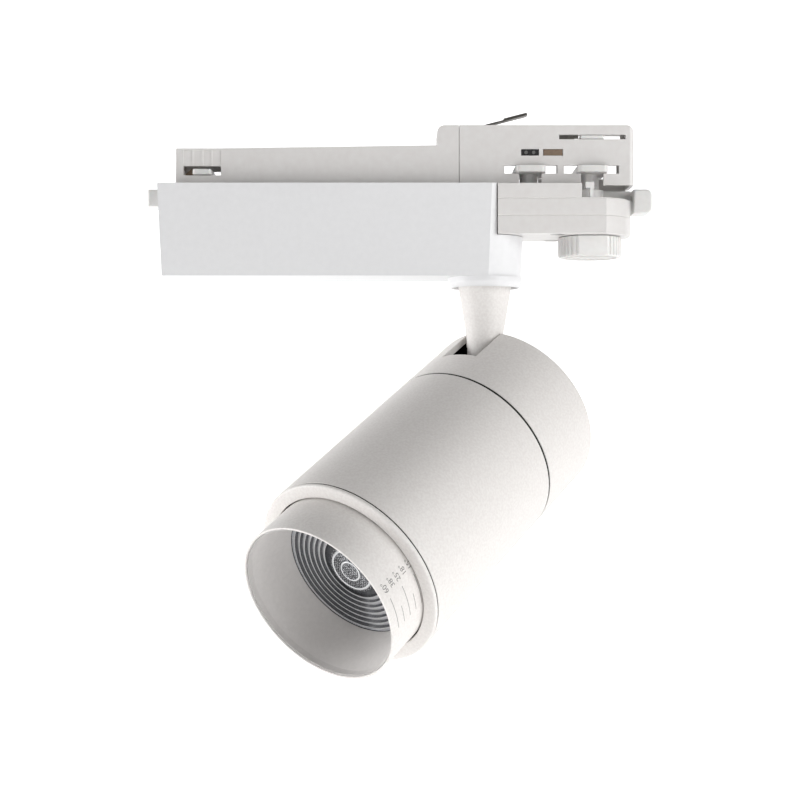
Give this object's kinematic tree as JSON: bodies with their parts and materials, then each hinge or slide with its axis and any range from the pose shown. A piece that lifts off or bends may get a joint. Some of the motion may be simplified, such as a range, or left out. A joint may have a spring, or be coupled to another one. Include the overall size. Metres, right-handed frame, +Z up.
{
  "type": "track spotlight",
  "caption": "Adjustable LED track spotlight: zoom barrel lamp head on a tilting, panning stem, driver box and track adapter with locking levers and circuit selector.",
  "frame": {"origin": "on the pan axis, at the shoulder plane that bears on the underside of the track", "axes": "+X along the track towards the circuit selector knob, +Y across the track away from the locking lever recess, +Z up into the track"},
  "size_m": [0.201, 0.1432, 0.2143],
  "materials": {
    "white_housing": "satin moulded polycarbonate",
    "white_adapter": "satin moulded polycarbonate",
    "white_powder": "fine-textured matt powder coat on aluminium",
    "white_lever": "satin moulded nylon",
    "black_plastic": "matt black moulded",
    "black_rubber": "matt",
    "spring_steel": "rolled strip",
    "zinc_steel": "zinc plated",
    "brass": "dull",
    "aluminium": "die cast, plain",
    "circuit_board": "solder resist",
    "component_black": "moulded epoxy",
    "phosphor": "silicone phosphor",
    "clear_pmma": "clear moulded acrylic with ring steps",
    "lead_silicone": "silicone sleeve"
  },
  "bodies": {
    "driver_unit": {"driver_housing": "white_housing", "housing_lid": "white_housing", "track_insert": "white_adapter", "adapter_body": "white_adapter", "adapter_base_top": "white_adapter", "adapter_base_mid": "white_adapter", "adapter_base_bottom": "white_adapter", "swivel_ring": "white_housing", "lever_catch": "white_lever", "pan_screws": "zinc_steel", "base_screws": "zinc_steel", "swivel_bush": "black_plastic", "live_contact": "brass", "contact_block": "black_plastic", "contact_pins": "zinc_steel", "phase_contact": "spring_steel", "driver_board": "circuit_board", "transformer": "component_black", "board_parts": "component_black", "terminal_block": "black_plastic"},
    "end_lock": {"end_lever": "white_lever", "end_shaft": "white_lever", "end_lock_wing": "white_lever", "end_earth_blade": "brass"},
    "main_lock": {"lock_lever": "white_lever", "lock_shaft": "white_lever", "right_lock_wing": "white_lever"},
    "centre_lock": {"centre_shaft": "white_lever", "centre_lock_wing": "white_lever"},
    "lock_link": {"link_bar": "zinc_steel"},
    "earth_leaf": {"earth_spring": "spring_steel"},
    "selector": {"selector_knob": "white_lever", "selector_shaft": "white_lever", "selector_blade": "white_lever"},
    "stem": {"stem": "white_powder", "swivel_tube": "zinc_steel", "swivel_washer": "zinc_steel", "swivel_nut": "zinc_steel", "stem_lead": "lead_silicone"},
    "head": {"rear_cap": "white_powder", "cap_wall": "white_powder", "seam_rings": "black_rubber", "body_tube": "white_powder", "heat_sink": "aluminium", "pivot_bracket": "spring_steel", "pivot_pin": "zinc_steel", "pivot_washers": "black_plastic", "head_screws": "zinc_steel", "led_board": "aluminium", "led_emitter": "phosphor", "led_holder": "black_plastic", "front_bezel": "white_powder", "friction_ring": "black_rubber", "guide_rods": "zinc_steel"},
    "zoom": {"zoom_barrel": "white_powder", "guide_shoes": "black_plastic", "glare_cone": "white_powder", "zoom_lens": "clear_pmma", "lens_carrier": "black_plastic"}
  },
  "joints": [
    {"name": "stem_pan", "type": "hinge", "parent": "driver_unit", "child": "stem", "pos_m": [0, 0, -0.0365], "axis": [0, 0, 1], "range_deg": [-170, 170]},
    {"name": "head_tilt", "type": "hinge", "parent": "stem", "child": "head", "pos_m": [0, 0, -0.0826], "axis": [0.7817, -0.6236, 0], "range_deg": [-29, 60.5]},
    {"name": "zoom_slide", "type": "slide", "parent": "head", "child": "zoom", "axis": [0.5448, 0.6829, 0.4866], "range_m": [0, 0.0146]},
    {"name": "lock_turn", "type": "hinge", "parent": "driver_unit", "child": "main_lock", "pos_m": [0.0421, 0, 0], "axis": [0, 0, 1], "range_deg": [-90, 0]},
    {"name": "centre_lock_turn", "type": "hinge", "parent": "driver_unit", "child": "centre_lock", "pos_m": [0.0176, 0, 0], "axis": [0, 0, 1], "range_deg": [-90, 0]},
    {"name": "link_turn", "type": "hinge", "parent": "main_lock", "child": "lock_link", "pos_m": [0.03821, 0.00389, -0.0103], "axis": [0, 0, 1], "range_deg": [0, 90]},
    {"name": "end_lock_turn", "type": "hinge", "parent": "driver_unit", "child": "end_lock", "pos_m": [-0.1124, 0, 0], "axis": [0, 0, 1], "range_deg": [-90, 0]},
    {"name": "earth_spring_flex", "type": "hinge", "parent": "driver_unit", "child": "earth_leaf", "pos_m": [-0.006, 0, 0.0233], "axis": [0, 1, 0], "range_deg": [0, 9], "stiffness_Nm_per_rad": 0.15, "springref_deg": -5.73},
    {"name": "selector_turn", "type": "hinge", "parent": "driver_unit", "child": "selector", "pos_m": [0.0421, 0, -0.028], "axis": [0, 0, 1], "range_deg": [-90, 90]}
  ],
  "couplings": [
    {"joint": "centre_lock_turn", "follows": "lock_turn", "ratio": 1},
    {"joint": "link_turn", "follows": "lock_turn", "ratio": -1}
  ]
}
